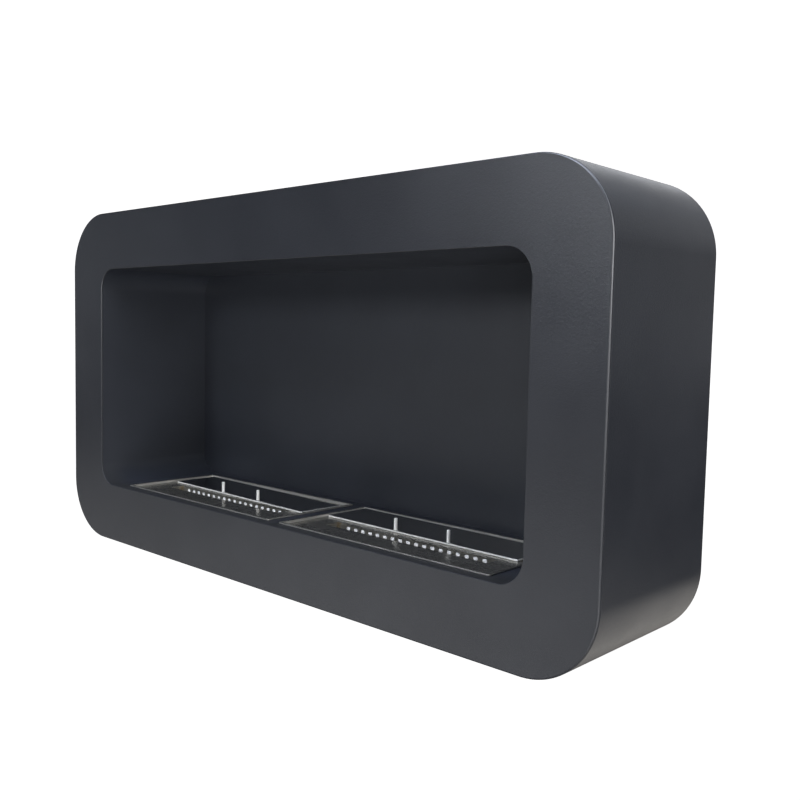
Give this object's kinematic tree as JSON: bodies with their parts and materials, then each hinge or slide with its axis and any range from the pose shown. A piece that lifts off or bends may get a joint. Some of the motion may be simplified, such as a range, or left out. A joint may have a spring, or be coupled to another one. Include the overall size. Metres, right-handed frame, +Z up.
{
  "type": "wall-hung bioethanol fireplace",
  "caption": "Wall-hung bioethanol fireplace: a wide round-cornered steel casing with an open firebox and lift-out burner trays with sliding lids.",
  "frame": {"origin": "centre of the rear face, in the plane that lies against the wall", "axes": "+X to the right as seen from the room, +Y into the wall, +Z up"},
  "size_m": [0.9, 0.195, 0.466],
  "materials": {
    "powder_coat": "satin anthracite black powder coat with a fine grain",
    "firebox_coat": "satin black heat-resistant coat with a fine grain",
    "zinc_steel": "zinc-plated steel sheet",
    "burner_steel": "brushed stainless steel, slightly heat-tinted",
    "tank_steel": "plain stainless steel sheet",
    "lid_steel": "bright-rolled stainless steel, nearly a mirror",
    "pin_steel": "bright turned stainless steel",
    "ceramic_fibre": "white matt ceramic fibre blanket"
  },
  "bodies": {
    "casing": {"front_panel": "powder_coat", "outer_wrap": "powder_coat", "rear_cover": "powder_coat", "firebox_liner": "firebox_coat", "firebox_back": "firebox_coat", "floor_rail_front": "zinc_steel", "floor_rail_rear": "zinc_steel", "liner_bracket_top_left": "zinc_steel", "liner_bracket_top_right": "zinc_steel", "liner_bracket_side_left": "zinc_steel", "liner_bracket_side_right": "zinc_steel", "hanger_plate_left": "zinc_steel", "hanger_plate_right": "zinc_steel", "cover_tab_1": "zinc_steel", "cover_screw_1": "zinc_steel", "cover_tab_2": "zinc_steel", "cover_screw_2": "zinc_steel", "cover_tab_3": "zinc_steel", "cover_screw_3": "zinc_steel", "cover_tab_4": "zinc_steel", "cover_screw_4": "zinc_steel", "cover_tab_5": "zinc_steel", "cover_screw_5": "zinc_steel", "cover_tab_6": "zinc_steel", "cover_screw_6": "zinc_steel", "cover_tab_7": "zinc_steel", "cover_screw_7": "zinc_steel", "cover_tab_8": "zinc_steel", "cover_screw_8": "zinc_steel"},
    "burner_left": {"burner_tray_left": "burner_steel", "fuel_tank_left": "tank_steel", "burner_channel_left": "burner_steel", "ceramic_wool_left": "ceramic_fibre"},
    "lid_left": {"slide_lid_left": "lid_steel", "lid_pin_left_1": "pin_steel", "lid_pin_left_2": "pin_steel"},
    "burner_right": {"burner_tray_right": "burner_steel", "fuel_tank_right": "tank_steel", "burner_channel_right": "burner_steel", "ceramic_wool_right": "ceramic_fibre"},
    "lid_right": {"slide_lid_right": "lid_steel", "lid_pin_right_1": "pin_steel", "lid_pin_right_2": "pin_steel"}
  },
  "joints": [
    {"name": "burner_left_lift", "type": "slide", "parent": "casing", "child": "burner_left", "axis": [0, 0, 1], "range_m": [0, 0.08]},
    {"name": "lid_left_slide", "type": "slide", "parent": "burner_left", "child": "lid_left", "axis": [0, -1, 0], "range_m": [-0.004, 0.059]},
    {"name": "burner_right_lift", "type": "slide", "parent": "casing", "child": "burner_right", "axis": [0, 0, 1], "range_m": [0, 0.08]},
    {"name": "lid_right_slide", "type": "slide", "parent": "burner_right", "child": "lid_right", "axis": [0, -1, 0], "range_m": [-0.0004, 0.0665]}
  ]
}
